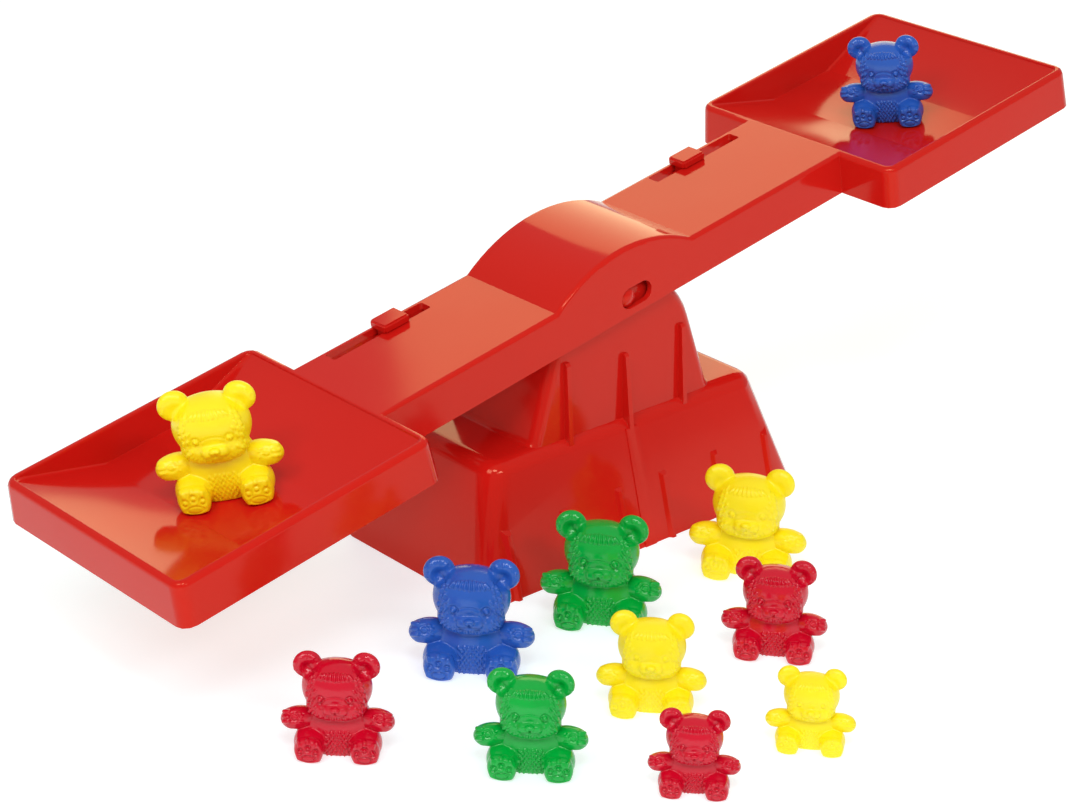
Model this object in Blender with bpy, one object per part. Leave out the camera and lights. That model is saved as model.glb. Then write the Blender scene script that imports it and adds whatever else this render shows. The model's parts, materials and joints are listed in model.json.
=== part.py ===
# Counting balance game: a moulded rocker balance with two trays, two sliding
# compensators and a family of teddy bear counters in three sizes.
# Metres, +Z up. The beam runs along X, its left tray is down, and the bears look
# towards -X -Y.
from math import asin, atan2, copysign, cos, pi, radians, sin, sqrt, tan

import bmesh
import bpy
from mathutils import Matrix, Vector

# General
RUNNING_GAP = 0.0003          # left between surfaces that slide or rest on each other
OVERRUN = 0.002               # how far a cut runs past the surface it opens
REST_TILT = radians(11.0)     # the left tray is down, with the beam on its stop

# Beam
BEAM_LENGTH = 0.397           # end to end over both trays, at the rims
BEAM_WIDTH = 0.0444           # the arm between the trays, at its deck
SKIRT_DEPTH = 0.0146          # from the deck down to the lower edge
SKIRT_DRAFT = 0.0009          # how far a skirt leans out over its depth
BEAM_WALL = 0.0020            # cheeks of the channel
DECK_THICKNESS = 0.0024
DECK_EDGE_RADIUS = 0.0014
HUMP_LENGTH = 0.0612          # chord of the arched centre
HUMP_HEIGHT = 0.0093
HUMP_STEPS = 18

# Trays
TRAY_LENGTH = 0.0958
TRAY_WIDTH = 0.0900
TRAY_CORNER_RADIUS = 0.0045
RIM_WIDTH = 0.0027
RIM_EDGE_RADIUS = 0.0018
RIM_INNER_RADIUS = 0.0008
TRAY_DEPTH = 0.0107
FLOOR_LENGTH = 0.0308         # flat part between the two ramps
FLOOR_INSET = 0.0041          # from the tray's side to the floor's edge
FLOOR_CORNER_RADIUS = 0.0020

# Pivot
PIVOT_HEIGHT = 0.0840         # above the surface that the base stands on
PIVOT_DEPTH = 0.0086          # below the deck
PEG_RADIUS = 0.0031
PEG_CLEARANCE = 0.0004
PEG_DOME = 0.0010
SLOT_TRAVEL = 0.0064          # centre to centre of the slot's round ends

# Stop webs under the hump
WEB_THICKNESS = 0.0020
WEB_PLACE = 0.0280            # from the middle of the beam

# Compensators and their slots
# A slot's two ends along the straight of the arm, from the hump to the tray
GUIDE_SPAN_SHARES = (0.294, 0.854)
GUIDE_WIDTH = 0.0050
GUIDE_CORNER_RADIUS = 0.0008
TAB_LENGTH = 0.0105
TAB_WIDTH = 0.0080
TAB_HEIGHT = 0.0026
TAB_EDGE_RADIUS = 0.0006
NECK_LENGTH = 0.0080
FOOT_WIDTH = 0.0072
FOOT_HEIGHT = 0.0022
LEFT_PLACE_SHARE = 0.34       # along the free travel, from the inner end
RIGHT_PLACE_SHARE = 0.39

# Base block
BLOCK_HEIGHT = 0.0422
BLOCK_TOP_LENGTH = 0.1204
BLOCK_TOP_WIDTH = 0.0498
BLOCK_FLARE = 0.0127          # how far each side leans out at the bottom
BLOCK_CORNER_RADIUS = 0.0070
BLOCK_EDGE_RADIUS = 0.0060
BASE_WALL = 0.0025

# Tower
TOWER_HEIGHT = 0.0887
TOWER_TOP_LENGTH = 0.0100     # flat at the very top
SHOULDER_RADIUS = 0.0280
SHOULDER_STEPS = 9
TOWER_FOOT_LENGTH = 0.0814    # where it meets the block's top
TOWER_FOOT_FILLET = 0.0020
TOWER_FOOT_STEPS = 3
TOWER_TOP_WIDTH = 0.0386
TOWER_FOOT_WIDTH = 0.0451
TOWER_EDGE_RADIUS = 0.0036

# Ribs on the base's two long sides, three on the tower and six on the flare
RIB_WIDTH = 0.0018
RIB_SPACING = 0.0261
RIB_TOP = 0.0680              # height of the two outer ribs
RIB_TOP_PROUD = 0.0018
RIB_FOOT_PROUD = 0.0024
MIDDLE_RIB_TOP = 0.0644
MIDDLE_RIB_FOOT_PROUD = 0.0034
BAND_WIDTH = 0.0052           # flat band under the middle rib
BAND_PROUD = 0.0004
FLARE_RIB_WIDTH = 0.0032      # where it leaves the flare
FLARE_RIB_CREST = 0.0014      # along its top
FLARE_RIB_PLACE = 0.0102      # first rib, from the middle
FLARE_RIB_SPACING = 0.0246
FLARE_RIB_COUNT = 3           # on each half of a side
FLARE_RIB_TOP = 0.0219
FLARE_RIB_PROUD = 0.0012

# Bears, measured from the ground to the tips of the ears
LARGE_BEAR = 0.0367
MEDIUM_BEAR = 0.0314
SMALL_BEAR = 0.0252

# A bear's round forms: centre and half sizes as shares of its height, the form's turn
# about X, Y and Z in degrees, the sides it is on, its facets round and along, and how
# round it is, from 1 for an ellipsoid down towards a block. The bear looks along -Y.
BEAR_FORM_SHARES = (
    ((0.0, -0.01, 0.19), (0.33, 0.235, 0.33), (0, 0, 0), (1,), (12, 6), 0.75),
    ((0.0, -0.06, 0.66), (0.328, 0.255, 0.262), (0, 0, 0), (1,), (12, 7), 0.85),
    ((0.0, -0.150, 0.528), (0.245, 0.165, 0.160), (0, 0, 0), (1,), (8, 4), 0.90),
    ((0.270, -0.03, 0.864), (0.136, 0.074, 0.136), (0, 0, -12), (-1, 1), (8, 4), 1.0),
    ((0.365, -0.11, 0.342), (0.168, 0.105, 0.108), (0, 4, -12), (-1, 1), (8, 4), 0.85),
    ((0.250, -0.16, 0.130), (0.160, 0.20, 0.148), (0, 0, 8), (-1, 1), (8, 4), 0.85),
    ((0.260, -0.315, 0.118), (0.138, 0.072, 0.130), (-4, 0, 8), (-1, 1), (8, 4), 0.65),
)
BEAR_LEAN_SHARE = -0.032      # sideways, as a share of the height above the ground

# Where the counters stand: across and along shares of the beam's length, from the
# middle of the balance, and the turn about Z that makes each one look at the viewer.
FLOOR_BEAR_SHARES = (
    ("bear_large_blue", LARGE_BEAR, "blue", (-0.243, -0.146), -46),
    ("bear_large_green", LARGE_BEAR, "green", (-0.114, -0.155), -50),
    ("bear_large_yellow", LARGE_BEAR, "yellow", (0.037, -0.172), -52),
    ("bear_medium_red_right", MEDIUM_BEAR, "crimson", (-0.046, -0.279), -50),
    ("bear_medium_yellow", MEDIUM_BEAR, "yellow", (-0.180, -0.278), -47),
    ("bear_medium_green", MEDIUM_BEAR, "green", (-0.306, -0.282), -45),
    ("bear_medium_red_left", MEDIUM_BEAR, "crimson", (-0.397, -0.174), -44),
    ("bear_small_red", SMALL_BEAR, "crimson", (-0.237, -0.379), -46),
    ("bear_small_yellow", SMALL_BEAR, "yellow", (-0.129, -0.393), -49),
)
# On a tray floor the shares are of the tray's length and width, from its middle.
TRAY_BEAR_SHARES = (
    ("bear_large_yellow_in_tray", LARGE_BEAR, "yellow", -1, (0.016, -0.010), -36),
    ("bear_medium_blue_in_tray", MEDIUM_BEAR, "blue", 1, (0.0, -0.027), -52),
)

COLOURS = {                   # sRGB and roughness
    "red": ((206, 38, 34), 0.28),
    "blue": ((38, 78, 178), 0.30),
    "green": ((0, 132, 48), 0.28),
    "crimson": ((204, 16, 48), 0.28),
    "yellow": ((250, 214, 18), 0.34),
}


def clear_scene():
    for item in list(bpy.data.objects):
        bpy.data.objects.remove(item, do_unlink=True)


def linear(channel):
    share = channel / 255
    return share / 12.92 if share <= 0.04045 else ((share + 0.055) / 1.055) ** 2.4


def plastic(name):
    colour, roughness = COLOURS[name]
    material = bpy.data.materials.get(name + "_plastic")
    if material is None:
        material = bpy.data.materials.new(name + "_plastic")
        material.use_nodes = True
        shader = material.node_tree.nodes["Principled BSDF"]
        shader.inputs["Base Color"].default_value = (*[linear(c) for c in colour], 1)
        shader.inputs["Roughness"].default_value = roughness
        shader.inputs["Metallic"].default_value = 0.0
        material.diffuse_color = (*[linear(c) for c in colour], 1)
    return material


def object_from(bm, name):
    """Turns a bmesh into an object in the scene."""
    mesh = bpy.data.meshes.new(name)
    bmesh.ops.recalc_face_normals(bm, faces=bm.faces)
    bm.to_mesh(mesh)
    bm.free()
    item = bpy.data.objects.new(name, mesh)
    bpy.context.collection.objects.link(item)
    return item


def combine(target, other, operation):
    """Joins another solid to the target, or cuts it out, and uses the other up."""
    modifier = target.modifiers.new(operation.lower(), 'BOOLEAN')
    modifier.operation = operation
    modifier.solver = 'EXACT'
    modifier.object = other
    bpy.context.view_layer.update()
    graph = bpy.context.evaluated_depsgraph_get()
    mesh = bpy.data.meshes.new_from_object(target.evaluated_get(graph))
    target.modifiers.clear()
    old = target.data
    target.data = mesh
    bpy.data.meshes.remove(old)
    bpy.data.objects.remove(other, do_unlink=True)


def tidy(item, distance=RUNNING_GAP / 30):
    """Merges the crumbs that a chain of cuts leaves, and keeps the faces flat."""
    bm = bmesh.new()
    bm.from_mesh(item.data)
    bmesh.ops.remove_doubles(bm, verts=bm.verts, dist=distance)
    bmesh.ops.dissolve_degenerate(bm, edges=bm.edges, dist=distance)
    bmesh.ops.triangulate(bm, faces=[f for f in bm.faces if len(f.verts) > 4])
    bmesh.ops.recalc_face_normals(bm, faces=bm.faces)
    bm.to_mesh(item.data)
    bm.free()


def finish(item, colour, sharp=35):
    item.data.materials.clear()
    item.data.materials.append(plastic(colour))
    item.data.shade_smooth()
    item.data.set_sharp_from_angle(angle=radians(sharp))
    return item


def rounded_ring(half_x, half_y, radius, z, middle_x=0.0, steps=3):
    """Points of a rounded rectangle at one height."""
    radius = max(radius, RUNNING_GAP)
    points = []
    for quarter, (sx, sy) in enumerate(((1, 1), (-1, 1), (-1, -1), (1, -1))):
        cx = middle_x + sx * (half_x - radius)
        cy = sy * (half_y - radius)
        for step in range(steps + 1):
            angle = (quarter + step / steps) * pi / 2
            points.append((cx + radius * cos(angle), cy + radius * sin(angle), z))
    return points


def loft(rings, name):
    """A closed solid through rings of equal point counts, bottom ring first."""
    bm = bmesh.new()
    loops = [[bm.verts.new(p) for p in ring] for ring in rings]
    count = len(loops[0])
    for lower, upper in zip(loops, loops[1:]):
        for i in range(count):
            j = (i + 1) % count
            bm.faces.new((lower[i], lower[j], upper[j], upper[i]))
    bm.faces.new(list(reversed(loops[0])))
    bm.faces.new(loops[-1])
    return object_from(bm, name)


def drawn_in(outline, distance, keep_below):
    """The outline with its sides moved inwards. Points at or below keep_below stay."""
    moved = []
    count = len(outline)
    for i in range(count):
        here = Vector(outline[i])
        if here.y <= keep_below:
            moved.append(here)
            continue
        before = (here - Vector(outline[i - 1])).normalized()
        after = (Vector(outline[(i + 1) % count]) - here).normalized()
        inward = Vector((-before.y - after.y, before.x + after.x))
        moved.append(here + inward * distance / (1 + before.dot(after)))
    return moved


def prism(outline, half_width, name, edge_radius=0.0, edge_steps=3, keep_below=0.0):
    """An outline in X and Z, pulled across Y. half_width gives half the width at a
    height. The outer edges above keep_below are rounded."""
    levels = [(0.0, 0.0)]
    if edge_radius:
        levels = [(edge_radius * (1 - sin(pi / 2 * step / edge_steps)),
                   edge_radius * (1 - cos(pi / 2 * step / edge_steps)))
                  for step in range(edge_steps + 1)]
    bm = bmesh.new()
    rows = []
    for side, order in ((-1, levels), (1, levels[::-1])):
        for inset, depth in order:
            points = drawn_in(outline, inset, keep_below)
            rows.append([bm.verts.new((x, side * (half_width(z) - depth), z))
                         for x, z in points])
    count = len(outline)
    bm.faces.new(rows[0])
    bm.faces.new(rows[-1][::-1])
    for near, far in zip(rows, rows[1:]):
        for i in range(count):
            j = (i + 1) % count
            bm.faces.new((near[j], near[i], far[i], far[j]))
    return object_from(bm, name)


def box(low, high, name):
    bm = bmesh.new()
    middle = [(a + b) / 2 for a, b in zip(low, high)]
    size = [b - a for a, b in zip(low, high)]
    place = Matrix.Translation(middle) @ Matrix.Diagonal((*size, 1.0))
    bmesh.ops.create_cube(bm, size=1.0, matrix=place)
    return object_from(bm, name)


def bear_form(centre_share, half_share, turn, facets, roundness, height, side):
    """One of a bear's round forms, on the given side."""
    x, y, z = centre_share
    place = Matrix.Translation((side * x * height, y * height, z * height))
    for axis, angle in zip("ZYX", (side * turn[2], side * turn[1], turn[0])):
        place = place @ Matrix.Rotation(radians(angle), 4, axis)
    place = place @ Matrix.Diagonal((*[share * height for share in half_share], 1.0))
    bm = bmesh.new()
    bmesh.ops.create_uvsphere(bm, u_segments=facets[0], v_segments=facets[1], radius=1.0)
    for vert in bm.verts:
        vert.co = [copysign(abs(c) ** roundness, c) for c in vert.co]
    bm.transform(place)
    return object_from(bm, "form")


# Worked out from the sizes above
half_length = BEAM_LENGTH / 2
half_beam = BEAM_WIDTH / 2
tray_middle = half_length - TRAY_LENGTH / 2
arm_end = half_length - TRAY_LENGTH
guide_ends = [HUMP_LENGTH / 2 + (arm_end - HUMP_LENGTH / 2) * share
              for share in GUIDE_SPAN_SHARES]
guide_length = guide_ends[1] - guide_ends[0]
hump_radius = (HUMP_LENGTH ** 2 / 4 + HUMP_HEIGHT ** 2) / (2 * HUMP_HEIGHT)
block_slope = BLOCK_FLARE / BLOCK_HEIGHT
tower_lean = (TOWER_FOOT_WIDTH - TOWER_TOP_WIDTH) / 2 / (TOWER_HEIGHT - BLOCK_HEIGHT)


def skirt_half(z, at_deck):
    """Half the outer width of a drafted side, with the deck at z = 0."""
    return at_deck - SKIRT_DRAFT * z / SKIRT_DEPTH


def hump_outline(thickness, bottom, reach):
    """The arm's outline in X and Z: deck, arch and deck, then back along the bottom."""
    radius = hump_radius - thickness
    drop = hump_radius - HUMP_HEIGHT - thickness
    turn = asin(sqrt(radius ** 2 - drop ** 2) / radius)
    points = [(-reach, bottom), (-reach, -thickness)]
    for step in range(HUMP_STEPS + 1):
        angle = turn * (2 * step / HUMP_STEPS - 1)
        points.append((radius * sin(angle), radius * cos(angle) - drop - thickness))
    points += [(reach, -thickness), (reach, bottom)]
    return list(reversed(points))


def tray_opening_rings(thickness=0.0, widen=0.0):
    """Rings of the hollow that the counters sit in, lowered by a thickness."""
    mouth_x = TRAY_LENGTH / 2 - RIM_WIDTH
    mouth_y = TRAY_WIDTH / 2 - RIM_WIDTH + widen
    floor_y = TRAY_WIDTH / 2 - FLOOR_INSET + widen
    corner = TRAY_CORNER_RADIUS - RIM_WIDTH
    return ((FLOOR_LENGTH / 2, floor_y, FLOOR_CORNER_RADIUS, -TRAY_DEPTH - thickness),
            (mouth_x, mouth_y, corner, -thickness))


def add_tray(beam, side):
    """Joins one tray to the beam: skirts, rim, ramps and floor, open underneath."""
    middle = side * tray_middle
    half_x, half_y = TRAY_LENGTH / 2, TRAY_WIDTH / 2
    rings = []
    for z in (-SKIRT_DEPTH, -RIM_EDGE_RADIUS):
        rings.append(rounded_ring(skirt_half(z, half_x), skirt_half(z, half_y),
                                  TRAY_CORNER_RADIUS, z, middle))
    for step in range(1, 4):
        angle = step / 3 * pi / 2
        inset = RIM_EDGE_RADIUS * (1 - cos(angle))
        z = -RIM_EDGE_RADIUS * (1 - sin(angle))
        rings.append(rounded_ring(half_x - inset, half_y - inset,
                                  TRAY_CORNER_RADIUS - inset, z, middle))
    combine(beam, loft(rings, "tray"), 'UNION')
    # The space inside the skirts
    inner = RIM_WIDTH
    rings = []
    for z in (-SKIRT_DEPTH - OVERRUN, -DECK_THICKNESS):
        rings.append(rounded_ring(skirt_half(z, half_x) - inner, skirt_half(z, half_y) - inner,
                                  TRAY_CORNER_RADIUS - inner, z, middle))
    combine(beam, loft(rings, "under_tray"), 'DIFFERENCE')
    # Ramps and floor
    (floor_x, floor_y, floor_r, floor_z), (mouth_x, mouth_y, mouth_r, mouth_z) = (
        tray_opening_rings(DECK_THICKNESS, RIM_WIDTH / 2))
    rings = [rounded_ring(floor_x, floor_y, floor_r, floor_z, middle),
             rounded_ring(mouth_x, mouth_y, mouth_r, mouth_z, middle),
             rounded_ring(mouth_x, mouth_y, mouth_r, mouth_z / 2, middle)]
    combine(beam, loft(rings, "hopper"), 'UNION')
    (floor_x, floor_y, floor_r, floor_z), (mouth_x, mouth_y, mouth_r, mouth_z) = (
        tray_opening_rings())
    rings = [rounded_ring(floor_x, floor_y, floor_r, floor_z, middle),
             rounded_ring(mouth_x, mouth_y, mouth_r, -RIM_INNER_RADIUS, middle)]
    for step in range(1, 3):
        angle = step / 2 * pi / 2
        grow = RIM_INNER_RADIUS * (1 - cos(angle))
        z = -RIM_INNER_RADIUS * (1 - sin(angle))
        rings.append(rounded_ring(mouth_x + grow, mouth_y + grow, mouth_r + grow, z, middle))
    grow = RIM_INNER_RADIUS
    rings.append(rounded_ring(mouth_x + grow, mouth_y + grow, mouth_r + grow, OVERRUN, middle))
    combine(beam, loft(rings, "tray_hollow"), 'DIFFERENCE')


def web_bottom():
    """Height, from the deck, of the lower edge of a stop web that rests on the
    tower's shoulder when the beam is at its rest tilt."""
    corner_x = -(WEB_PLACE - WEB_THICKNESS / 2)
    centre_x = -TOWER_TOP_LENGTH / 2
    centre_z = TOWER_HEIGHT - SHOULDER_RADIUS
    start = Vector((corner_x * cos(REST_TILT) - centre_x,
                    corner_x * sin(REST_TILT) + PIVOT_HEIGHT - centre_z))
    along = Vector((-sin(REST_TILT), cos(REST_TILT)))
    reach = SHOULDER_RADIUS + RUNNING_GAP
    half = start.dot(along)
    return -half + sqrt(half ** 2 - start.length_squared + reach ** 2) - PIVOT_DEPTH


def make_beam(pivot):
    """The rocker: an open channel with an arched middle and a tray at each end."""
    reach = arm_end + (RIM_EDGE_RADIUS + RIM_WIDTH) / 2
    beam = prism(hump_outline(0.0, -SKIRT_DEPTH, reach), lambda z: skirt_half(z, half_beam),
                 "beam", DECK_EDGE_RADIUS, 3, keep_below=-SKIRT_DEPTH)
    for side in (-1, 1):
        add_tray(beam, side)
    # The channel under the arm, closed by the trays' skirts
    inside = arm_end - BEAM_WALL
    outline = hump_outline(DECK_THICKNESS, -SKIRT_DEPTH - OVERRUN, inside)
    channel = prism(outline, lambda z: skirt_half(z, half_beam) - BEAM_WALL, "channel")
    combine(beam, channel, 'DIFFERENCE')
    low = web_bottom()
    for side in (-1, 1):
        middle = side * WEB_PLACE
        half_y = half_beam - BEAM_WALL / 2
        web = box((middle - WEB_THICKNESS / 2, -half_y, low),
                  (middle + WEB_THICKNESS / 2, half_y, -DECK_THICKNESS / 2), "web")
        combine(beam, web, 'UNION')
    # Slotted pivot holes through both cheeks
    radius = PEG_RADIUS + PEG_CLEARANCE
    steps = 10
    outline = []
    for end, start in ((SLOT_TRAVEL, -pi / 2), (0.0, pi / 2)):
        for step in range(steps + 1):
            angle = start + pi * step / steps
            outline.append((end + radius * cos(angle), radius * sin(angle) - PIVOT_DEPTH))
    slot = prism(outline, lambda z: half_beam + SKIRT_DRAFT + OVERRUN, "slot")
    combine(beam, slot, 'DIFFERENCE')
    # Guide slots for the compensators, along the far edge of each arm
    far_y = half_beam - BEAM_WALL
    for side in (-1, 1):
        middle = side * (guide_ends[0] + guide_length / 2)
        rings = [rounded_ring(guide_length / 2, GUIDE_WIDTH / 2, GUIDE_CORNER_RADIUS, z, middle)
                 for z in (-DECK_THICKNESS - OVERRUN, OVERRUN)]
        guide = loft(rings, "guide")
        guide.data.transform(Matrix.Translation((0, far_y - GUIDE_WIDTH / 2, 0)))
        combine(beam, guide, 'DIFFERENCE')
    tidy(beam)
    beam.data.transform(Matrix.Translation((0, 0, PIVOT_DEPTH)))
    beam.parent = pivot
    return finish(beam, "red")


def make_compensator(name, side, place_share, pivot):
    """A grip above the deck, a neck in the guide slot and a foot that holds it down."""
    far_y = half_beam - BEAM_WALL
    slot_y = far_y - GUIDE_WIDTH / 2
    half_neck = NECK_LENGTH / 2
    inner = guide_ends[0] + half_neck + RUNNING_GAP
    travel = guide_length - NECK_LENGTH - 2 * RUNNING_GAP
    place = inner + travel * place_share
    top = RUNNING_GAP + TAB_HEIGHT
    under = -DECK_THICKNESS - RUNNING_GAP
    bm = bmesh.new()
    size = (TAB_LENGTH, TAB_WIDTH, TAB_HEIGHT)
    centre = (0, slot_y, RUNNING_GAP + TAB_HEIGHT / 2)
    bmesh.ops.create_cube(bm, size=1.0,
                          matrix=Matrix.Translation(centre) @ Matrix.Diagonal((*size, 1.0)))
    edges = [e for e in bm.edges if max(v.co.z for v in e.verts) > centre[2]]
    bmesh.ops.bevel(bm, geom=edges, offset=TAB_EDGE_RADIUS, segments=2, affect='EDGES')
    item = object_from(bm, name)
    neck_y = GUIDE_WIDTH / 2 - RUNNING_GAP
    combine(item, box((-half_neck, slot_y - neck_y, under - FOOT_HEIGHT / 2),
                      (half_neck, slot_y + neck_y, top / 2), "neck"), 'UNION')
    foot_far = far_y - RUNNING_GAP
    combine(item, box((-TAB_LENGTH / 2, foot_far - FOOT_WIDTH, under - FOOT_HEIGHT),
                      (TAB_LENGTH / 2, foot_far, under), "foot"), 'UNION')
    tidy(item)
    item.parent = pivot
    item.location = (side * place, 0, PIVOT_DEPTH)
    return finish(item, "red")


def block_rings(inset):
    """Rings of the flared block, drawn in by a wall and lowered by it."""
    height = BLOCK_HEIGHT - inset
    slope = atan2(BLOCK_FLARE, BLOCK_HEIGHT)
    radius = max(BLOCK_EDGE_RADIUS - inset, RUNNING_GAP)
    corner = max(BLOCK_CORNER_RADIUS - inset, RUNNING_GAP)
    shift = inset * (1 / cos(slope) - tan(slope))
    top_x = BLOCK_TOP_LENGTH / 2 - shift
    top_y = BLOCK_TOP_WIDTH / 2 - shift
    back = radius * (1 - sin(slope)) / cos(slope)
    foot = -OVERRUN if inset else 0.0
    out = (height - foot) * tan(slope)
    rings = [rounded_ring(top_x + out, top_y + out, corner, foot)]
    steps = 4
    for step in range(steps + 1):
        angle = slope + (pi / 2 - slope) * step / steps
        grow = radius * cos(angle) - back
        rings.append(rounded_ring(top_x + grow, top_y + grow, corner + grow,
                                  height - radius * (1 - sin(angle))))
    return rings


def tower_outline(inset):
    """The tower in X and Z: round shoulders over sides that lean out to a filleted
    foot on the block."""
    radius = SHOULDER_RADIUS - inset
    centre_x = TOWER_TOP_LENGTH / 2
    centre_z = TOWER_HEIGHT - SHOULDER_RADIUS
    foot_x = TOWER_FOOT_LENGTH / 2
    # The side is a tangent from the foot to the shoulder's arc
    dx, dz = foot_x - centre_x, BLOCK_HEIGHT - centre_z
    reach = sqrt(dx ** 2 + dz ** 2)
    lean = atan2(dz, dx) + asin(sqrt(reach ** 2 - SHOULDER_RADIUS ** 2) / reach)
    if inset:
        half = [(foot_x - inset / cos(lean), BLOCK_HEIGHT / 2)]
    else:
        half = [(foot_x + TOWER_FOOT_FILLET, BLOCK_HEIGHT / 2)]
        for step in range(TOWER_FOOT_STEPS + 1):
            share = step / TOWER_FOOT_STEPS
            rise = TOWER_FOOT_FILLET * share ** 2
            out = TOWER_FOOT_FILLET * (1 - share) ** 2
            half.append((foot_x - rise * tan(lean) + out, BLOCK_HEIGHT + rise))
    for step in range(SHOULDER_STEPS + 1):
        angle = lean + (pi / 2 - lean) * step / SHOULDER_STEPS
        half.append((centre_x + radius * cos(angle), centre_z + radius * sin(angle)))
    other = [(-x, z) for x, z in reversed(half)]
    return half + other


def tower_half(z, inset=0.0):
    """Half the tower's width at a height."""
    return TOWER_TOP_WIDTH / 2 + tower_lean * (TOWER_HEIGHT - z) - inset


def rib_plate(place_x, half_widths, outline, side, name):
    """A thin plate across X from points in Y and Z, on the near or far side, with half
    its width at each point."""
    bm = bmesh.new()
    rows = [[bm.verts.new((place_x + way * half, side * y, z))
             for half, (y, z) in zip(half_widths, outline)] for way in (-1, 1)]
    bm.faces.new(rows[0])
    bm.faces.new(list(reversed(rows[1])))
    for i in range(len(outline)):
        j = (i + 1) % len(outline)
        bm.faces.new((rows[0][j], rows[0][i], rows[1][i], rows[1][j]))
    return object_from(bm, name)


def flare_half(z):
    """Half the flare's width at a height, as if its top edge were sharp."""
    return BLOCK_TOP_WIDTH / 2 + (BLOCK_HEIGHT - z) * block_slope


def tower_rib(place_x, top, foot_proud, side):
    """A rib that leans out from the tower and runs down until the flare has caught up
    with it."""
    root = tower_half(top) - BASE_WALL / 2
    edge_y = tower_half(top) + RIB_TOP_PROUD
    foot_y = tower_half(BLOCK_HEIGHT) + foot_proud
    lean = (foot_y - edge_y) / (top - BLOCK_HEIGHT)
    meet = (foot_y - BLOCK_TOP_WIDTH / 2) / (block_slope - lean)
    sunk = meet + BASE_WALL
    outline = [(root, top), (edge_y - RIB_TOP_PROUD / 2, top),
               (edge_y, top - RIB_TOP_PROUD / 2),
               (foot_y + lean * sunk, BLOCK_HEIGHT - sunk),
               (root, BLOCK_HEIGHT - BASE_WALL)]
    return rib_plate(place_x, [RIB_WIDTH / 2] * len(outline), outline, side, "tower_rib")


def flare_rib(place_x, side):
    """A rib with sloping cheeks from the middle of the flare down to the lower edge.
    Its top end slopes too."""
    root, crest = -BASE_WALL / 2, FLARE_RIB_PROUD
    slant = (FLARE_RIB_WIDTH - FLARE_RIB_CREST) / 2 / FLARE_RIB_PROUD
    points = ((root, FLARE_RIB_TOP - slant * root), (crest, FLARE_RIB_TOP - slant * crest),
              (crest, 0.0), (root, 0.0))
    outline = [(flare_half(z) + proud, z) for proud, z in points]
    half_widths = [FLARE_RIB_WIDTH / 2 - slant * proud for proud, z in points]
    return rib_plate(place_x, half_widths, outline, side, "flare_rib")


def middle_band(side):
    """A low band on the flare, from under the middle rib down to the lower edge."""
    top = BLOCK_HEIGHT - BLOCK_EDGE_RADIUS / 2
    foot_y = flare_half(0.0)
    outline = [(flare_half(top) - BASE_WALL / 2, top), (flare_half(top) + BAND_PROUD, top),
               (foot_y + BAND_PROUD, 0.0), (foot_y - BASE_WALL / 2, 0.0)]
    return rib_plate(0.0, [BAND_WIDTH / 2] * len(outline), outline, side, "band")


def make_base():
    """A hollow plinth: flared block, tower with round shoulders, ribs and the two pegs
    that carry the beam."""
    base = loft(block_rings(0.0), "base")
    tower = prism(tower_outline(0.0), tower_half, "tower", TOWER_EDGE_RADIUS, 3,
                  keep_below=BLOCK_HEIGHT / 2)
    combine(base, tower, 'UNION')
    for side in (-1, 1):
        for place, top, foot_proud in (
                (-RIB_SPACING, RIB_TOP, RIB_FOOT_PROUD),
                (0.0, MIDDLE_RIB_TOP, MIDDLE_RIB_FOOT_PROUD),
                (RIB_SPACING, RIB_TOP, RIB_FOOT_PROUD)):
            combine(base, tower_rib(place, top, foot_proud, side), 'UNION')
        combine(base, middle_band(side), 'UNION')
        for number in range(FLARE_RIB_COUNT):
            place = FLARE_RIB_PLACE + number * FLARE_RIB_SPACING
            for half in (-1, 1):
                combine(base, flare_rib(half * place, side), 'UNION')
    hollow = loft(block_rings(BASE_WALL), "hollow")
    shaft = prism(tower_outline(BASE_WALL), lambda z: tower_half(z, BASE_WALL), "shaft")
    combine(hollow, shaft, 'UNION')
    combine(base, hollow, 'DIFFERENCE')
    # Pegs with domed ends, flush with the cheeks
    inner = tower_half(PIVOT_HEIGHT) - BASE_WALL / 2
    outer = skirt_half(-PIVOT_DEPTH, half_beam)
    for side in (-1, 1):
        bm = bmesh.new()
        profile = [(0.0, inner), (PEG_RADIUS, inner), (PEG_RADIUS, outer - PEG_DOME)]
        dome_radius = (PEG_RADIUS ** 2 + PEG_DOME ** 2) / (2 * PEG_DOME)
        turn = asin(PEG_RADIUS / dome_radius)
        for step in range(1, 4):
            angle = turn * (1 - step / 3)
            profile.append((dome_radius * sin(angle),
                            outer - dome_radius * (1 - cos(angle))))
        verts = [bm.verts.new((r, side * y, 0.0)) for r, y in profile]
        edges = [bm.edges.new(pair) for pair in zip(verts, verts[1:])]
        bmesh.ops.spin(bm, geom=verts + edges, cent=(0, 0, 0), axis=(0, 1, 0),
                       angle=2 * pi, steps=20, use_merge=True)
        bmesh.ops.remove_doubles(bm, verts=bm.verts, dist=RUNNING_GAP / 30)
        bmesh.ops.translate(bm, verts=bm.verts, vec=(0, 0, PIVOT_HEIGHT))
        combine(base, object_from(bm, "peg"), 'UNION')
    tidy(base)
    return finish(base, "red")


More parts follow.
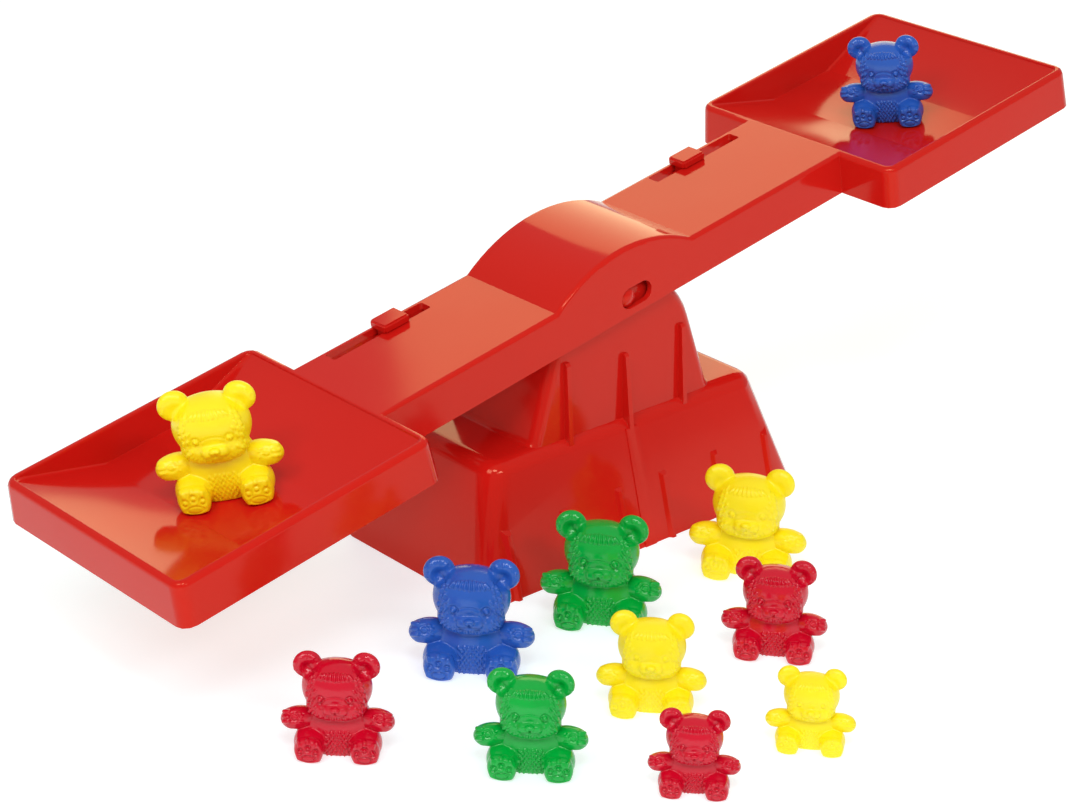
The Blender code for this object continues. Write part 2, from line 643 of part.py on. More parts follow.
def bear_mesh(height):
    """A seated bear as one solid, flat underneath, with its middle at the origin."""
    bear = None
    for centre_share, half_share, turn, sides, facets, roundness in BEAR_FORM_SHARES:
        for side in sides:
            form = bear_form(centre_share, half_share, turn, facets, roundness, height, side)
            if bear is None:
                bear = form
            else:
                combine(bear, form, 'UNION')
    reach = height
    combine(bear, box((-reach, -reach, -reach), (reach, reach, 0.0), "ground"), 'DIFFERENCE')
    tidy(bear)
    lean = Matrix.Identity(4)
    lean[0][2] = BEAR_LEAN_SHARE
    bear.data.transform(lean)
    mesh = bear.data
    bpy.data.objects.remove(bear, do_unlink=True)
    mesh.shade_smooth()
    mesh.set_sharp_from_angle(angle=radians(50))
    return mesh


def make_bear(name, mesh, colour, location, turn, parent):
    item = bpy.data.objects.new(name, mesh)
    bpy.context.collection.objects.link(item)
    item.location = location
    item.rotation_euler = (0, 0, radians(turn))
    item.parent = parent
    if not mesh.materials:
        mesh.materials.append(plastic(colour))
    item.material_slots[0].link = 'OBJECT'
    item.material_slots[0].material = plastic(colour)
    return item


def make_empty(name, location, turn, parent=None):
    item = bpy.data.objects.new(name, None)
    bpy.context.collection.objects.link(item)
    item.location = location
    item.rotation_euler = turn
    item.parent = parent
    return item


def build():
    clear_scene()
    whole = make_empty("whole_set", (0, 0, 0), (0, 0, 0))
    pivot = make_empty("beam_pivot", (0, 0, PIVOT_HEIGHT), (0, -REST_TILT, 0), whole)
    base = make_base()
    base.parent = whole
    make_beam(pivot)
    make_compensator("compensator_left", -1, LEFT_PLACE_SHARE, pivot)
    make_compensator("compensator_right", 1, RIGHT_PLACE_SHARE, pivot)
    meshes = {height: bear_mesh(height) for height in (LARGE_BEAR, MEDIUM_BEAR, SMALL_BEAR)}
    for height, word in ((LARGE_BEAR, "large"), (MEDIUM_BEAR, "medium"), (SMALL_BEAR, "small")):
        meshes[height].name = "bear_" + word
    for name, height, colour, (along_share, across_share), turn in FLOOR_BEAR_SHARES:
        place = (along_share * BEAM_LENGTH, across_share * BEAM_LENGTH, 0.0)
        make_bear(name, meshes[height], colour, place, turn, whole)
    seat = PIVOT_DEPTH - TRAY_DEPTH + RUNNING_GAP
    for name, height, colour, side, (along_share, across_share), turn in TRAY_BEAR_SHARES:
        place = (side * tray_middle + along_share * TRAY_LENGTH,
                 across_share * TRAY_WIDTH, seat)
        make_bear(name, meshes[height], colour, place, turn, pivot)
    # The set's own origin is the middle of the ground that it covers
    bpy.context.view_layer.update()
    corners = [item.matrix_world @ vert.co for item in bpy.data.objects
               if item.type == 'MESH' for vert in item.data.vertices]
    low = [min(c[i] for c in corners) for i in range(3)]
    high = [max(c[i] for c in corners) for i in range(3)]
    whole.location = (-(low[0] + high[0]) / 2, -(low[1] + high[1]) / 2, -low[2])
    bpy.context.view_layer.update()
    print("pivot", [round(v, 6) for v in pivot.matrix_world.translation])
    print("size", [round(b - a, 5) for a, b in zip(low, high)])
    for item in sorted(bpy.data.objects, key=lambda o: o.name):
        if item.type == 'MESH':
            faces = sum(len(p.vertices) - 2 for p in item.data.polygons)
            print(item.name, "triangles", faces,
                  "at", [round(v, 5) for v in item.matrix_world.translation])


build()
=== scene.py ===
# Counting balance with its bear counters, dressed for a studio picture
import json
import math
import random

import bpy
import numpy as np
from mathutils import Matrix, Vector

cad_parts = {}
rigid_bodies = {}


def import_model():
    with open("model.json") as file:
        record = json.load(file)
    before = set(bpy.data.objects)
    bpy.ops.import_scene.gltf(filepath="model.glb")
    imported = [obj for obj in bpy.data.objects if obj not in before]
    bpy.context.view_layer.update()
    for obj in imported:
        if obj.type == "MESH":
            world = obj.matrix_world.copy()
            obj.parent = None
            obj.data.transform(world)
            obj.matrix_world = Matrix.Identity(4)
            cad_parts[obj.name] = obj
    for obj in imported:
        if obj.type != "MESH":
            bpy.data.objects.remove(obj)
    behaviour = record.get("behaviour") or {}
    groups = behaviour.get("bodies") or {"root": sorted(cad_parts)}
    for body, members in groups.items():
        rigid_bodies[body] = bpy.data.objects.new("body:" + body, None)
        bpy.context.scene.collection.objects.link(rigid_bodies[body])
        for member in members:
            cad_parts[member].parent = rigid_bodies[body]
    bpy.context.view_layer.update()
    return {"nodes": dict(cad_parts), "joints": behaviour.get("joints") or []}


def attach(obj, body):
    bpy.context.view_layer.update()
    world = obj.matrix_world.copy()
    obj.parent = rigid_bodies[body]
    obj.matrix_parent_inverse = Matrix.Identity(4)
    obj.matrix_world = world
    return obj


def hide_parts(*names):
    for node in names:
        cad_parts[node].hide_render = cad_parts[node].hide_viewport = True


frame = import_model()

pivotJoint = next(j for j in frame["joints"] if j["name"] == "beam_rock")
pivotPoint = Vector(pivotJoint["pos_m"])
ground = Vector((pivotPoint.x, pivotPoint.y, 0))  # middle of the balance's base
restTilt = math.radians(11)
print("frame loaded", len(frame["nodes"]), "nodes")


# Small tools

def fromHex(code):
    channels = [int(code[i:i + 2], 16) / 255 for i in (1, 3, 5)]
    linear = [c / 12.92 if c <= 0.04045 else ((c + 0.055) / 1.055) ** 2.4
              for c in channels]
    return (*linear, 1)


def addNode(tree, kind, settings=None, links=None):
    node = tree.nodes.new(kind)
    for name, value in (settings or {}).items():
        if name in node.inputs:
            node.inputs[name].default_value = value
        else:
            setattr(node, name, value)
    for name, source in (links or {}).items():
        tree.links.new(source, node.inputs[name])
    return node


def deselectAll():
    if bpy.context.object and bpy.context.object.mode != "OBJECT":
        bpy.ops.object.mode_set(mode="OBJECT")
    for item in bpy.context.view_layer.objects:
        item.select_set(False)


def selectOnly(item):
    deselectAll()
    item.select_set(True)
    bpy.context.view_layer.objects.active = item


def applyModifier(item, kind, **settings):
    selectOnly(item)
    bpy.ops.object.modifier_add(type=kind)
    modifier = item.modifiers[-1]
    for name, value in settings.items():
        setattr(modifier, name, value)
    bpy.ops.object.modifier_apply(modifier=modifier.name)


def giveMaterial(item, material):
    item.data.materials.clear()
    item.data.materials.append(material)


# The faces that meet at each edge of a mesh
def facesByEdge(mesh):
    neighbours = {}
    for face in mesh.polygons:
        for key in face.edge_keys:
            neighbours.setdefault(key, []).append(face)
    return neighbours


# Materials

# Any moulded plastic here: the colour and the gloss drift a little, and the skin has
# one or more layers of unevenness, each laid over the one before
def mouldedPlastic(name, look):
    material = bpy.data.materials.new(name)
    material.use_nodes = True
    tree = material.node_tree
    shader = tree.nodes["Principled BSDF"]
    place = addNode(tree, "ShaderNodeTexCoord").outputs["Object"]

    def noise(size, detail):
        return addNode(tree, "ShaderNodeTexNoise", {"Scale": 1 / size, "Detail": detail},
                       {"Vector": place}).outputs["Fac"]

    tone = addNode(tree, "ShaderNodeMix", {"data_type": "RGBA"})
    tone.inputs[6].default_value = fromHex(look["colour"])
    tone.inputs[7].default_value = fromHex(look["shade"])
    tree.links.new(noise(*look["cloud"]), tone.inputs[0])
    tree.links.new(tone.outputs[2], shader.inputs["Base Color"])
    rough = addNode(tree, "ShaderNodeMapRange",
                    {"To Min": look["roughness"][0], "To Max": look["roughness"][1]},
                    {"Value": noise(*look["haze"])})
    tree.links.new(rough.outputs["Result"], shader.inputs["Roughness"])
    normal = None
    for size, detail, depth in look["bumps"]:
        bump = addNode(tree, "ShaderNodeBump", {"Strength": 1.0, "Distance": depth},
                       {"Height": noise(size, detail)})
        if normal:
            tree.links.new(normal, bump.inputs["Normal"])
        normal = bump.outputs["Normal"]
    tree.links.new(normal, shader.inputs["Normal"])
    for socket, value in look["shader"].items():
        shader.inputs[socket].default_value = value
    return material


# High-impact polystyrene, injection moulded in a polished tool: a deep even red with
# broad clear reflections that waver a little where the sheet has shrunk
redPolystyrene = mouldedPlastic("redMouldedPolystyrene", {
    "colour": "#CF1B14", "shade": "#C81712",
    "cloud": (0.060, 2.0), "haze": (0.025, 4.0),      # size in metres, and detail
    "roughness": (0.07, 0.13),
    "bumps": (                                        # size, detail and depth
        (0.045, 1.0, 0.00025),                        # shrinkage of the moulded sheet
        (0.0012, 3.0, 0.000003),                      # the tool's polish
    ),
    "shader": {"IOR": 1.38, "Specular Tint": fromHex("#FFD8AC")},
})

# Solid soft vinyl, injection moulded in a sandblasted tool: full colour with light
# scattered just under the skin, and a satin sheen that breaks up on the fine grain
vinylSkin = {
    "cloud": (0.009, 3.0), "haze": (0.0007, 3.0),
    "bumps": ((0.0007, 3.0, 0.00003),),               # grit, drawn coarser to show
    "IOR": 1.47, "glowReach": (0.0012, 0.0009, 0.0006),
}
vinylLooks = {                                        # crispness is of the relief
    "yellow": {"colour": "#FFEC10", "shade": "#FCE20C",
               "roughness": (0.30, 0.42), "glow": 0.15, "crispness": 0.38},
    "blue": {"colour": "#2A60C0", "shade": "#2454B0",
             "roughness": (0.15, 0.24), "glow": 0.03, "crispness": 0.9},
    "green": {"colour": "#00AE3E", "shade": "#009C36",
              "roughness": (0.12, 0.19), "glow": 0.03, "crispness": 1.0},
    "crimson": {"colour": "#D20628", "shade": "#C20424",
                "roughness": (0.12, 0.18), "glow": 0.03, "crispness": 1.0},
}
vinyl = {}
for name, look in vinylLooks.items():
    vinyl[name] = mouldedPlastic(name + "MouldedVinyl", {
        **vinylSkin, **look,
        "shader": {"IOR": vinylSkin["IOR"], "Subsurface Weight": look["glow"],
                   "Subsurface Radius": vinylSkin["glowReach"],
                   "Subsurface Scale": 1.0},
    })
print("materials ready")


# The balance

balanceEdges = {
    "mergeReach": 0.00001, "flatAngle": 0.6,   # what counts as one point, and as flat
    "edgeRound": 0.0006,       # every moulded edge has a small radius
    "edgeSegments": 3,
    "edgeAngle": 31.2,         # the round corners have steps of up to 30 degrees
    "creaseAngle": 8,          # between two broad faces, kept crisp
    "broadFace": 0.006,
    "faceWeight": 60,          # how much the big faces rule the shading beside them
    "humpRound": 0.0018,       # the hump's two arched edges are softer than the rest
    "humpSegments": 4,
    "humpReach": 0.042,        # how far from the pivot they run
    "humpFloor": 0.009,        # and how high above it they start
    "cheekFacing": 0.95,       # a face that looks sideways by this much is a cheek
    "topFacing": 0.3,          # and one that looks up by this much is the top
}


# A shallow crease between two broad faces, such as a tray's floor and ramp, stays sharp
def keepCreases(piece):
    mesh = piece.data
    neighbours = facesByEdge(mesh)
    creaseAngle = math.radians(balanceEdges["creaseAngle"])

    def broad(face):
        corners = [mesh.vertices[i].co for i in face.vertices]
        reach = max((a - b).length for a in corners for b in corners)
        return face.area / reach > balanceEdges["broadFace"]

    wide = {face.index for face in mesh.polygons if broad(face)}
    for edge in mesh.edges:
        faces = neighbours.get(edge.key, [])
        if len(faces) == 2 and faces[0].index in wide and faces[1].index in wide:
            if faces[0].normal.angle(faces[1].normal, 0) > creaseAngle:
                edge.use_edge_sharp = True


# The arched edges of the hump, where its curved top meets the two cheeks
def roundHump(piece):
    mesh = piece.data
    neighbours = facesByEdge(mesh)
    weight = mesh.attributes.new("bevel_weight_edge", "FLOAT", "EDGE")

    def onHump(end):
        return (math.hypot(end.x, end.z) < balanceEdges["humpReach"]
                and end.z > balanceEdges["humpFloor"])

    for edge in mesh.edges:
        faces = neighbours.get(edge.key, [])
        ends = [mesh.vertices[i].co - pivotPoint for i in edge.vertices]
        if len(faces) == 2 and all(onHump(end) for end in ends):
            cheeks = [abs(face.normal.y) > balanceEdges["cheekFacing"] for face in faces]
            tops = [face.normal.z > balanceEdges["topFacing"] for face in faces]
            outward = sum((face.normal for face in faces), Vector()) * ends[0].y
            if sum(cheeks) == 1 and any(tops) and outward.y > 0:
                weight.data[edge.index].value = 1
    print("hump edges rounded", sum(item.value > 0 for item in weight.data))
    applyModifier(piece, "BEVEL", width=balanceEdges["humpRound"],
                  segments=balanceEdges["humpSegments"],
                  limit_method="WEIGHT", use_clamp_overlap=True)


# The solid's own faces are merged, its corners rounded, and the creases between the
# big flat faces kept
def dressNode(node, pieceName):
    piece = bpy.data.objects.new(pieceName, frame["nodes"][node].data.copy())
    bpy.context.scene.collection.objects.link(piece)
    selectOnly(piece)
    bpy.ops.object.mode_set(mode="EDIT")
    bpy.ops.mesh.select_all(action="SELECT")
    bpy.ops.mesh.remove_doubles(threshold=balanceEdges["mergeReach"])
    bpy.ops.mesh.dissolve_limited(angle_limit=math.radians(balanceEdges["flatAngle"]))
    bpy.ops.object.mode_set(mode="OBJECT")
    if node == "beam":
        roundHump(piece)
    edgeAngle = math.radians(balanceEdges["edgeAngle"])
    applyModifier(piece, "BEVEL", width=balanceEdges["edgeRound"],
                  segments=balanceEdges["edgeSegments"], limit_method="ANGLE",
                  angle_limit=edgeAngle, use_clamp_overlap=True)
    selectOnly(piece)
    bpy.ops.object.shade_smooth_by_angle(angle=edgeAngle)
    keepCreases(piece)
    applyModifier(piece, "WEIGHTED_NORMAL", keep_sharp=True,
                  weight=balanceEdges["faceWeight"])
    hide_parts(node)
    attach(piece, node)
    giveMaterial(piece, redPolystyrene)


for node, pieceName in (("base", "baseShell"), ("beam", "rockerShell"),
                        ("compensator_left", "leftCompensator"),
                        ("compensator_right", "rightCompensator")):
    dressNode(node, pieceName)
print("balance dressed")


# The bears

# All in shares of a bear's height. It looks along -Y.
bearShape = {
    "voxel": 0.0072,
    "forms": (  # centre, half sizes, turn in degrees, both sides or one, roundness
        ((0.0, -0.01, 0.19), (0.330, 0.235, 0.330), (0, 0, 0), False, 0.80),      # body
        ((0.0, -0.06, 0.66), (0.328, 0.250, 0.262), (0, 0, 0), False, 0.84),      # head
        ((0.0, -0.145, 0.520), (0.285, 0.170, 0.152), (0, 0, 0), False, 0.88),    # jaw
        ((0.0, -0.262, 0.542), (0.128, 0.100, 0.072), (12, 0, 0), False, 0.84),   # muzzle
        ((0.0, -0.356, 0.566), (0.046, 0.030, 0.030), (0, 0, 0), False, 1.0),     # nose
        ((0.270, -0.03, 0.864), (0.136, 0.074, 0.136), (0, 0, -12), True, 1.0),   # ear
        ((0.365, -0.11, 0.342), (0.168, 0.105, 0.108), (0, 4, -12), True, 0.88),  # arm
        ((0.250, -0.16, 0.130), (0.160, 0.200, 0.148), (0, 0, 8), True, 0.88),    # leg
        ((0.260, -0.315, 0.118), (0.138, 0.072, 0.130), (-4, 0, 8), True, 0.71),  # sole
    ),
    "formCuts": 17,
    "smoothing": 4,
    "lean": -0.032,                # sideways, for each height above the ground
}

# What is drawn on a bear's skin, as across and up seen from in front and a little
# above, then its radius or where it runs to, its width, and last how deep or proud
bearRelief = {
    "lookDown": (0.910, 0.415),                       # cosine and sine of that view
    "frontFade": (0.05, 0.35),                        # skin that faces away has none
    "fringe": (9, 0.036, 0.004, 0.706, 0.640, 1.0),   # count, step, drop, top, foot
    "cheekHair": (                                    # where from, and which way
        (0.182, 0.712, 0.014, -0.030), (0.220, 0.690, 0.014, -0.028),
        (0.190, 0.650, 0.010, -0.026), (0.234, 0.636, 0.012, -0.026),
        (0.204, 0.590, 0.012, -0.022), (0.246, 0.578, 0.008, -0.024),
        (0.176, 0.546, 0.014, -0.016), (0.222, 0.530, 0.010, -0.020),
        (0.262, 0.520, 0.004, -0.022), (0.200, 0.476, 0.010, -0.018),
        (0.240, 0.466, 0.008, -0.020), (0.214, 0.424, 0.010, -0.016),
        (0.250, 0.412, 0.004, -0.018), (0.186, 0.382, 0.010, -0.014),
        (0.224, 0.366, 0.006, -0.016),
    ),
    "cheekShare": 0.8,
    "earHair": ((-35, 0, 35, 70, 105), (0.270, 0.748), (0.104, 0.096), 0.020, 0.3),
    "hairHeight": 0.025, "hairWidth": 0.0120,
    "muzzle": (0, 0.398, 0.142, 0.013, 0.62, 0.009),
    "lip": ((0, 0.345), (0, 0.318), 0.010, 0.018),
    "mouth": ((0.010, 0.318), (0.080, 0.306), 0.011, 0.018),
    "earBowl": (0.262, 0.728, 0.066, 0.062),
    "earPlace": (0.270, 0.864, 0.14),
    "eye": (0.140, 0.458, 0.022, 0.024),
    "footMiddle": 0.262,
    "heelPad": (-0.104, 0.066, 0.012, 0.45, 0.018),
    "toes": ((-0.074, -0.040), (0.0, -0.008), (0.074, -0.040)),
    "toeGroove": (0.026, 0.010, 0.020), "toePad": (0.014, 0.010),
    "claws": ((-0.076, 0.018), (0.0, 0.044), (0.076, 0.018)),
    "claw": (1.05, 0.026, 0.016, 0.024),
    "fingers": (-0.044, 0.0, 0.044),
    "finger": ((0.446, 0.276), (0.494, 0.272), 0.015, 0.020),
    "palm": (0.392, 0.272, 0.036, 0.011, 0.016),
    "armHair": (4, (0.318, 0.236), (0.022, 0.024), 0.004, 0.010, 0.014),
    "down": (9, 6, (0.040, 0.026), -0.075, 0.012, 0.0105, 0.018),
    "downStray": (0.004, 0.003, 0.006),
    "chinHair": (13, -66, 11, (0.235, 0.112), 0.402, 1.10, 0.016, 0.010, 0.012),
}


# Short raised strokes of hair. Each is a line as seen from in front and a little above,
# across and up, with how proud it stands.
def hairStrokes():
    strokes = []
    count, step, drop, top, foot, share = bearRelief["fringe"]
    for i in range(count):
        fromMiddle = i - count // 2
        x = fromMiddle * step
        fall = abs(fromMiddle) * drop
        strokes.append(((x * 0.88, top - fall), (x * 1.12, foot + fall), share))
    turns, middle, radii, length, rimShare = bearRelief["earHair"]
    for side in (-1, 1):
        for x, up, dx, dy in bearRelief["cheekHair"]:
            strokes.append(((side * x, up), (side * (x + dx), up + dy),
                            bearRelief["cheekShare"]))
        for turn in turns:
            angle = math.radians(turn)
            x = middle[0] + radii[0] * math.sin(angle)
            up = middle[1] + radii[1] * math.cos(angle)
            strokes.append(((side * x, up), (side * (x + length * math.sin(angle)),
                                             up + length * math.cos(angle)), rimShare))
    return strokes


# Everything that is pressed into or stands off the bear's skin, as a height at each
# point, from where the point is and which way it faces
def reliefHeight(points, normals):
    x, y, z = points[:, 0], points[:, 1], points[:, 2]
    cosine, sine = bearRelief["lookDown"]
    up = cosine * z + sine * y
    fadeStart, fadeLength = bearRelief["frontFade"]
    facing = sine * normals[:, 2] - cosine * normals[:, 1]
    front = np.clip((facing - fadeStart) / fadeLength, 0, 1)
    height = np.zeros(len(points))

    def alongLine(start, end, width):
        ax, ay = start
        dx, dy = end[0] - ax, end[1] - ay
        t = np.clip(((x - ax) * dx + (up - ay) * dy) / (dx * dx + dy * dy), 0, 1)
        away = (x - ax - t * dx) ** 2 + (up - ay - t * dy) ** 2
        return np.exp(-(away / width ** 2) ** 1.5)

    def spot(cx, cy, radius):
        return np.exp(-((x - cx) ** 2 + (up - cy) ** 2) / radius ** 2)

    def ring(cx, cy, radius, width, squash=1.0):
        reach = np.sqrt((x - cx) ** 2 + ((up - cy) / squash) ** 2)
        return np.exp(-((reach - radius) / width) ** 2)

    head = front * (z > 0.44) * (y < 0.05)
    for start, end, share in hairStrokes():
        line = alongLine(start, end, bearRelief["hairWidth"])
        height = np.maximum(height, line * head * share * bearRelief["hairHeight"])
    *circle, depth = bearRelief["muzzle"]
    height -= ring(*circle) * head * (z > 0.54) * depth
    *line, depth = bearRelief["lip"]
    height -= alongLine(*line) * head * depth
    for side in (-1, 1):
        earX, earZ, earReach = bearRelief["earPlace"]
        ear = front * (np.hypot(x - side * earX, z - earZ) < earReach) * (z > 0.70)
        cx, cy, radius, depth = bearRelief["earBowl"]
        height -= spot(side * cx, cy, radius) * ear * depth
        cx, cy, radius, depth = bearRelief["eye"]
        height -= ring(side * cx, cy, radius * 1.5, radius * 0.55) * head * depth * 0.8
        height += spot(side * cx, cy, radius * 0.8) * head * depth
        start, end, width, depth = bearRelief["mouth"]
        height -= alongLine((side * start[0], start[1]), (side * end[0], end[1]),
                            width) * head * depth

        # sole: a heel pad and three toes, each in a groove, and claws above
        sole = front * (y < -0.31) * (z < 0.27)
        footX = side * bearRelief["footMiddle"]
        *circle, depth = bearRelief["heelPad"]
        height -= ring(footX, *circle) * sole * depth
        for dx, cy in bearRelief["toes"]:
            radius, width, depth = bearRelief["toeGroove"]
            height -= ring(footX + dx, cy, radius, width) * sole * depth
            radius, depth = bearRelief["toePad"]
            height += spot(footX + dx, cy, radius) * sole * depth
        toeTops = front * (z < 0.30) * (y < -0.22)
        spread, length, width, depth = bearRelief["claw"]
        for dx, cy in bearRelief["claws"]:
            height += alongLine((footX + dx, cy), (footX + dx * spread, cy + length),
                                width) * toeTops * depth

        # paw: finger ridges, a palm, and short hairs towards the elbow
        paw = front * (np.abs(x) > 0.30) * (z > 0.22) * (z < 0.50) * (np.sign(x) == side)
        start, end, width, depth = bearRelief["finger"]
        for rise in bearRelief["fingers"]:
            height += alongLine((side * start[0], start[1] + rise),
                                (side * end[0], end[1] + rise), width) * paw * depth
        cx, cy, radius, width, depth = bearRelief["palm"]
        height -= ring(side * cx, cy, radius, width) * paw * depth
        count, first, step, rise, width, depth = bearRelief["armHair"]
        for k in range(count):
            cx, cy = side * (first[0] + step[0] * (k % 2)), first[1] + step[1] * k
            height += alongLine((cx, cy), (cx + side * step[0], cy + rise),
                                width) * paw * depth

    # downy belly between the feet, and short hairs along the edge of the chin
    random.seed(4)
    belly = front * (z < 0.42) * (y > -0.32) * (np.abs(x) < 0.15)
    rows, columns, step, bottom, length, width, depth = bearRelief["down"]
    strayX, strayUp, strayTurn = bearRelief["downStray"]
    down = np.zeros(len(points))
    for row in range(rows):
        for column in range(columns):
            cx = ((column - (columns - 1) / 2 + 0.5 * (row % 2)) * step[0]
                  + random.uniform(-strayX, strayX))
            cy = bottom + row * step[1] + random.uniform(-strayUp, strayUp)
            end = (cx + random.uniform(-strayTurn, strayTurn), cy + length)
            down = np.maximum(down, alongLine((cx, cy), end, width))
    height += down * belly * depth
    count, first, step, radii, middle, spread, length, width, depth = bearRelief["chinHair"]
    chin = front * (y < -0.05) * (z > 0.38)
    for i in range(count):
        angle = math.radians(first + i * step)
        cx, cy = radii[0] * math.sin(angle), middle - radii[1] * math.cos(angle)
        line = alongLine((cx, cy), (cx * spread, cy - length * math.cos(angle)), width)
        height += line * chin * depth
    return height


# The yellow vinyl lets light through, so its counters look softer than the others
def modelBear(crispness):
    parts = []
    for centre, half, turn, twice, roundness in bearShape["forms"]:
        for side in ((1, -1) if twice else (1,)):
            deselectAll()
            bpy.ops.mesh.primitive_cube_add(size=2)
            part = bpy.context.object
            bpy.ops.object.mode_set(mode="EDIT")
            bpy.ops.mesh.subdivide(number_cuts=bearShape["formCuts"])
            bpy.ops.object.mode_set(mode="OBJECT")
            applyModifier(part, "CAST", cast_type="SPHERE", factor=roundness, radius=0,
                          use_radius_as_size=False, size=1)
            part.location = (side * centre[0], centre[1], centre[2])
            part.rotation_euler = [math.radians(a) for a in
                                   (turn[0], side * turn[1], side * turn[2])]
            part.scale = half
            parts.append(part)
    deselectAll()
    for part in parts:
        part.select_set(True)
    bpy.context.view_layer.objects.active = parts[0]
    bpy.ops.object.join()
    bear = bpy.context.object
    bear.name = "bearMaster"
    bpy.ops.object.transform_apply(location=True, rotation=True, scale=True)
    coarser = 1
    applyModifier(bear, "REMESH", mode="VOXEL", voxel_size=bearShape["voxel"] * coarser)
    applyModifier(bear, "SMOOTH", factor=0.5,
                  iterations=bearShape["smoothing"] // coarser)
    mesh = bear.data
    count = len(mesh.vertices)
    points = np.empty(count * 3)
    normals = np.empty(count * 3)
    mesh.vertices.foreach_get("co", points)
    mesh.vertices.foreach_get("normal", normals)
    points, normals = points.reshape(-1, 3), normals.reshape(-1, 3)
    points = points + normals * crispness * reliefHeight(points, normals)[:, None]
    points[:, 2] = points[:, 2].clip(0, None)    # the seat is flat
    points[:, 0] += bearShape["lean"] * points[:, 2]
    mesh.vertices.foreach_set("co", points.ravel())
    mesh.update()
    selectOnly(bear)
    bpy.ops.object.shade_smooth()
    return bear


# Where each counter stands and the way it looks, from the middle of the base in shares
# of the beam's length, or from the middle of its tray in shares of the tray's sides
counters = {
    "heights": {"large": 0.0367, "medium": 0.0314, "small": 0.0252},
    "reach": 0.99,             # they stay inside their solids
    "onGround": (
        ("bear_large_blue", "blue", (-0.243, -0.146), -46),
        ("bear_large_green", "green", (-0.114, -0.155), -50),
        ("bear_large_yellow", "yellow", (0.037, -0.172), -52),
        ("bear_medium_red_right", "crimson", (-0.046, -0.279), -50),
        ("bear_medium_yellow", "yellow", (-0.180, -0.278), -47),
        ("bear_medium_green", "green", (-0.306, -0.282), -45),
        ("bear_medium_red_left", "crimson", (-0.397, -0.174), -44),
        ("bear_small_red", "crimson", (-0.237, -0.379), -46),
        ("bear_small_yellow", "yellow", (-0.129, -0.393), -49),
    ),
    "inTray": (                # -1 is the left tray and 1 the right
        ("bear_large_yellow_in_tray", "yellow", -1, (0.016, -0.010), -36),
        ("bear_medium_blue_in_tray", "blue", 1, (0.0, -0.027), -52),
    ),
    "beamLength": 0.397, "trayMiddle": 0.1506, "trayLength": 0.0958, "trayWidth": 0.0900,
    "pivotDepth": 0.0086, "trayDepth": 0.0107, "seatGap": 0.0003,
}


def placeBear(node, colour, spot, turn, tilt=Matrix.Identity(4)):
    size = counters["heights"][node.split("_")[1]] * counters["reach"]
    place = tilt @ Matrix.Translation(spot) @ Matrix.Rotation(math.radians(turn), 4, "Z")
    bear = bpy.data.objects.new(node + "_counter", masters[colour].data.copy())
    bpy.context.scene.collection.objects.link(bear)
    bear.data.transform(place @ Matrix.Diagonal((size, size, size, 1)))
    giveMaterial(bear, vinyl[colour])
    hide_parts(node)
    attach(bear, node)


masters = {colour: modelBear(look["crispness"]) for colour, look in vinylLooks.items()}
print("bears modelled", len(masters["blue"].data.vertices), "points each")
for node, colour, shares, turn in counters["onGround"]:
    spot = ground + Vector((shares[0] * counters["beamLength"],
                            shares[1] * counters["beamLength"], 0))
    placeBear(node, colour, spot, turn)
beamPlace = Matrix.Translation(pivotPoint) @ Matrix.Rotation(-restTilt, 4, "Y")
seatHeight = counters["pivotDepth"] - counters["trayDepth"] + counters["seatGap"]
for node, colour, side, shares, turn in counters["inTray"]:
    spot = Vector((side * counters["trayMiddle"] + shares[0] * counters["trayLength"],
                   shares[1] * counters["trayWidth"], seatHeight))
    placeBear(node, colour, spot, turn, beamPlace)
for master in masters.values():
    bpy.data.objects.remove(master, do_unlink=True)
print("bears placed")


# Studio

studio = {
    "floorSize": 8.0, "floorColour": "#C0D2D6", "floorGlow": 0.58, "floorRoughness": 0.85,
    "worldColour": "#FFFFFF", "worldStrength": (0.44, 0.54),   # low down and overhead
    "worldHeights": (0.25, 0.95),
    "lightAim": (0, -0.03, 0.06),
    "lights": {  # place from the middle of the balance, width, height, power and colour
        "backSoftbox": ((0.92, 0.80, 0.60), 0.90, 1.00, 5.8, "#FFEAA8"),
        "leftSoftbox": ((-0.96, -0.30, 1.02), 0.44, 0.44, 4.2, "#FFFFFF"),
        "frontSoftbox": ((-0.27, -1.03, 0.92), 0.54, 0.12, 3.0, "#FFFFFF"),
        "frontSpot": ((-0.58, -0.64, 1.12), 0.30, 0.30, 3.6, "#FFFFFF"),
    },
    "cameraPlace": (-0.58275, -0.60355, 0.42083),
    "cameraTurns": (("Z", -43.13), ("X", 65.47), ("Z", 1.62)),
    "lens": 91.16, "sensorWidth": 36.0,
}

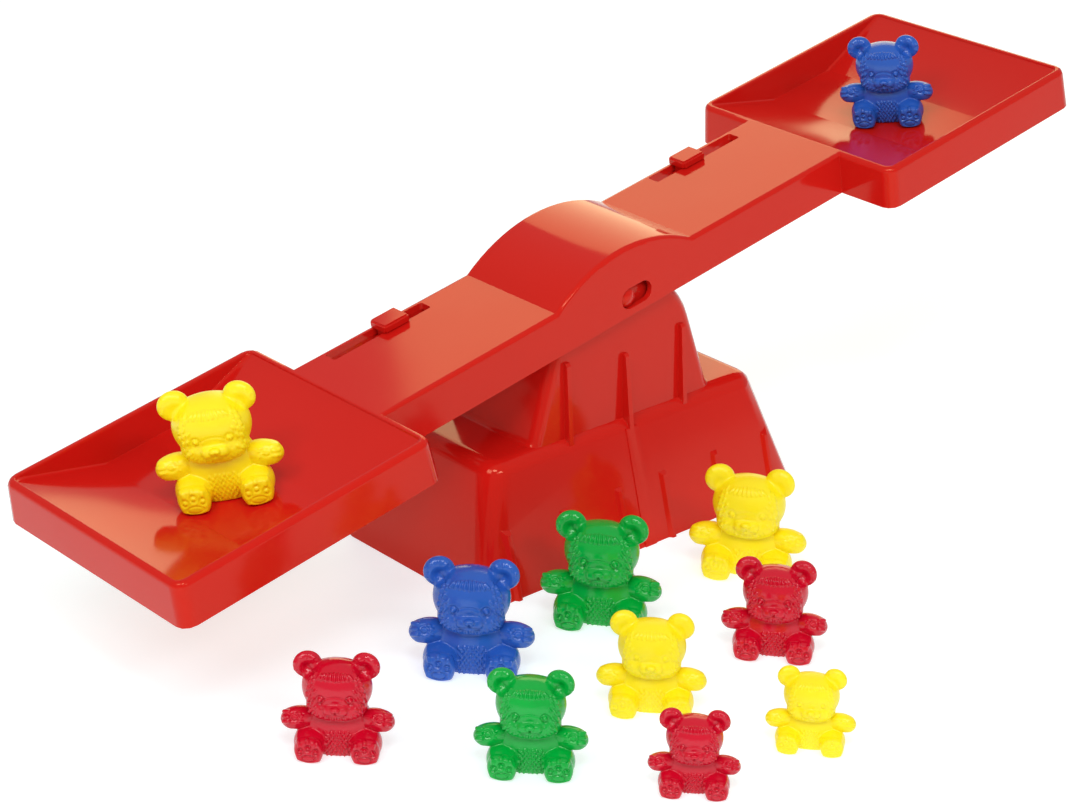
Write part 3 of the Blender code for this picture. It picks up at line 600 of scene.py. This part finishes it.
# A sheet of white acrylic lit from below, which takes most of the shadow away
deselectAll()
bpy.ops.mesh.primitive_plane_add(size=studio["floorSize"], location=ground)
floor = bpy.context.object
floor.name = "studioFloor"
acrylic = bpy.data.materials.new("litWhiteAcrylic")
acrylic.use_nodes = True
sheet = acrylic.node_tree.nodes["Principled BSDF"].inputs
sheet["Base Color"].default_value = fromHex(studio["floorColour"])
sheet["Roughness"].default_value = studio["floorRoughness"]
sheet["Emission Color"].default_value = fromHex("#FFFFFF")
sheet["Emission Strength"].default_value = studio["floorGlow"]
giveMaterial(floor, acrylic)

for name, (place, width, height, power, colour) in studio["lights"].items():
    light = bpy.data.lights.new(name, "AREA")
    light.shape = "RECTANGLE"
    light.size = width
    light.size_y = height
    light.energy = power
    light.color = fromHex(colour)[:3]
    lamp = bpy.data.objects.new(name, light)
    lamp.location = ground + Vector(place)
    aim = ground + Vector(studio["lightAim"]) - lamp.location
    lamp.rotation_euler = aim.to_track_quat("-Z", "Y").to_euler()
    bpy.context.scene.collection.objects.link(lamp)

world = bpy.data.worlds.new("studioWorld")
world.use_nodes = True
background = world.node_tree.nodes["Background"].inputs
background["Color"].default_value = fromHex(studio["worldColour"])
sky = addNode(world.node_tree, "ShaderNodeTexCoord").outputs["Generated"]
skyParts = addNode(world.node_tree, "ShaderNodeSeparateXYZ", links={"Vector": sky})
glow = addNode(world.node_tree, "ShaderNodeMapRange",
               {"From Min": studio["worldHeights"][0],
                "From Max": studio["worldHeights"][1],
                "To Min": studio["worldStrength"][0],
                "To Max": studio["worldStrength"][1]}, {"Value": skyParts.outputs["Z"]})
world.node_tree.links.new(glow.outputs["Result"], background["Strength"])
bpy.context.scene.world = world
bpy.context.scene.view_settings.view_transform = "Standard"

cameraData = bpy.data.cameras.new("productCamera")
cameraData.lens = studio["lens"]
cameraData.sensor_width = studio["sensorWidth"]
camera = bpy.data.objects.new("productCamera", cameraData)
cameraPose = Matrix.Translation(ground + Vector(studio["cameraPlace"]))
for axis, turn in studio["cameraTurns"]:
    cameraPose = cameraPose @ Matrix.Rotation(math.radians(turn), 4, axis)
camera.matrix_world = cameraPose
bpy.context.scene.collection.objects.link(camera)
bpy.context.scene.camera = camera
print("studio ready")
